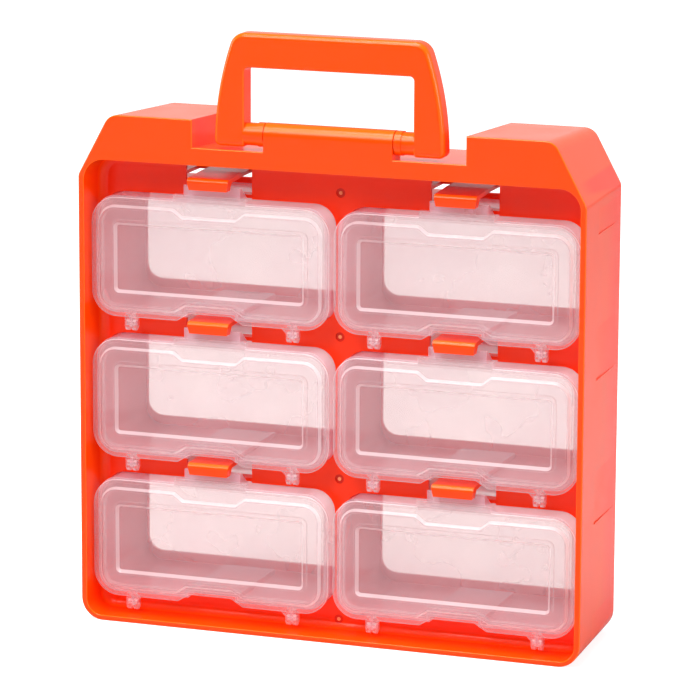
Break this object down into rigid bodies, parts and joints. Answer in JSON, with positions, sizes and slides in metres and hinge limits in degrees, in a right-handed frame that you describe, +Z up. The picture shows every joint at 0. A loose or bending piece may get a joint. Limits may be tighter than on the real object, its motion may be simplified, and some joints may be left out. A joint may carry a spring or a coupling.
{
  "type": "utility case",
  "caption": "Carrying case with a folding handle that holds clear slide-out boxes, each with a hinged snap lid and a sprung hook above it.",
  "frame": {"origin": "middle of the underside, on the surface that the case stands on", "axes": "+X to the case's right as seen from its front, +Y to its back, +Z up through the handle"},
  "size_m": [0.3, 0.082, 0.3455],
  "materials": {
    "case": "moulded polypropylene, satin",
    "handle": "moulded polypropylene, satin",
    "hook": "moulded polypropylene, satin, part of the case moulding",
    "box": "clear, slightly milky polypropylene, glossy",
    "lid": "clear, slightly milky polypropylene, glossy"
  },
  "bodies": {
    "case": {"case_base": "case", "case_top": "case", "case_rack": "case", "case_corner_left": "case", "case_side_left": "case", "case_corner_right": "case", "case_side_right": "case"},
    "handle": {"carry_handle": "handle"},
    "hook_left_1": {"hook_left_1": "hook"},
    "box_left_1": {"box_left_1": "box"},
    "lid_left_1": {"lid_left_1": "lid"},
    "hook_right_1": {"hook_right_1": "hook"},
    "box_right_1": {"box_right_1": "box"},
    "lid_right_1": {"lid_right_1": "lid"},
    "hook_left_2": {"hook_left_2": "hook"},
    "box_left_2": {"box_left_2": "box"},
    "lid_left_2": {"lid_left_2": "lid"},
    "hook_right_2": {"hook_right_2": "hook"},
    "box_right_2": {"box_right_2": "box"},
    "lid_right_2": {"lid_right_2": "lid"},
    "hook_left_3": {"hook_left_3": "hook"},
    "box_left_3": {"box_left_3": "box"},
    "lid_left_3": {"lid_left_3": "lid"},
    "hook_right_3": {"hook_right_3": "hook"},
    "box_right_3": {"box_right_3": "box"},
    "lid_right_3": {"lid_right_3": "lid"}
  },
  "joints": [
    {"name": "handle_fold", "type": "hinge", "parent": "case", "child": "handle", "pos_m": [0, -0.034, 0.2883], "axis": [-1, 0, 0], "range_deg": [0, 90]},
    {"name": "hook_left_1_flex", "type": "hinge", "parent": "case", "child": "hook_left_1", "pos_m": [-0.0732, 0.027, 0.2612], "axis": [-1, 0, 0], "range_deg": [0, 3], "stiffness_Nm_per_rad": 0.8, "deforming": ["hook_left_1"]},
    {"name": "box_left_1_slide", "type": "slide", "parent": "case", "child": "box_left_1", "axis": [0, -1, 0], "range_m": [0, 0.085]},
    {"name": "lid_left_1_hinge", "type": "hinge", "parent": "box_left_1", "child": "lid_left_1", "pos_m": [-0.0732, -0.0294, 0.1745], "axis": [1, 0, 0], "range_deg": [0, 90]},
    {"name": "hook_right_1_flex", "type": "hinge", "parent": "case", "child": "hook_right_1", "pos_m": [0.0732, 0.027, 0.2612], "axis": [-1, 0, 0], "range_deg": [0, 3], "stiffness_Nm_per_rad": 0.8, "deforming": ["hook_right_1"]},
    {"name": "box_right_1_slide", "type": "slide", "parent": "case", "child": "box_right_1", "axis": [0, -1, 0], "range_m": [0, 0.085]},
    {"name": "lid_right_1_hinge", "type": "hinge", "parent": "box_right_1", "child": "lid_right_1", "pos_m": [0.0732, -0.0294, 0.1745], "axis": [1, 0, 0], "range_deg": [0, 90]},
    {"name": "hook_left_2_flex", "type": "hinge", "parent": "case", "child": "hook_left_2", "pos_m": [-0.0732, 0.027, 0.1789], "axis": [-1, 0, 0], "range_deg": [0, 3], "stiffness_Nm_per_rad": 0.8, "deforming": ["hook_left_2"]},
    {"name": "box_left_2_slide", "type": "slide", "parent": "case", "child": "box_left_2", "axis": [0, -1, 0], "range_m": [0, 0.085]},
    {"name": "lid_left_2_hinge", "type": "hinge", "parent": "box_left_2", "child": "lid_left_2", "pos_m": [-0.0732, -0.0294, 0.0922], "axis": [1, 0, 0], "range_deg": [0, 90]},
    {"name": "hook_right_2_flex", "type": "hinge", "parent": "case", "child": "hook_right_2", "pos_m": [0.0732, 0.027, 0.1789], "axis": [-1, 0, 0], "range_deg": [0, 3], "stiffness_Nm_per_rad": 0.8, "deforming": ["hook_right_2"]},
    {"name": "box_right_2_slide", "type": "slide", "parent": "case", "child": "box_right_2", "axis": [0, -1, 0], "range_m": [0, 0.085]},
    {"name": "lid_right_2_hinge", "type": "hinge", "parent": "box_right_2", "child": "lid_right_2", "pos_m": [0.0732, -0.0294, 0.0922], "axis": [1, 0, 0], "range_deg": [0, 90]},
    {"name": "hook_left_3_flex", "type": "hinge", "parent": "case", "child": "hook_left_3", "pos_m": [-0.0732, 0.027, 0.0966], "axis": [-1, 0, 0], "range_deg": [0, 3], "stiffness_Nm_per_rad": 0.8, "deforming": ["hook_left_3"]},
    {"name": "box_left_3_slide", "type": "slide", "parent": "case", "child": "box_left_3", "axis": [0, -1, 0], "range_m": [0, 0.085]},
    {"name": "lid_left_3_hinge", "type": "hinge", "parent": "box_left_3", "child": "lid_left_3", "pos_m": [-0.0732, -0.0294, 0.0099], "axis": [1, 0, 0], "range_deg": [0, 90]},
    {"name": "hook_right_3_flex", "type": "hinge", "parent": "case", "child": "hook_right_3", "pos_m": [0.0732, 0.027, 0.0966], "axis": [-1, 0, 0], "range_deg": [0, 3], "stiffness_Nm_per_rad": 0.8, "deforming": ["hook_right_3"]},
    {"name": "box_right_3_slide", "type": "slide", "parent": "case", "child": "box_right_3", "axis": [0, -1, 0], "range_m": [0, 0.085]},
    {"name": "lid_right_3_hinge", "type": "hinge", "parent": "box_right_3", "child": "lid_right_3", "pos_m": [0.0732, -0.0294, 0.0099], "axis": [1, 0, 0], "range_deg": [0, 90]}
  ]
}
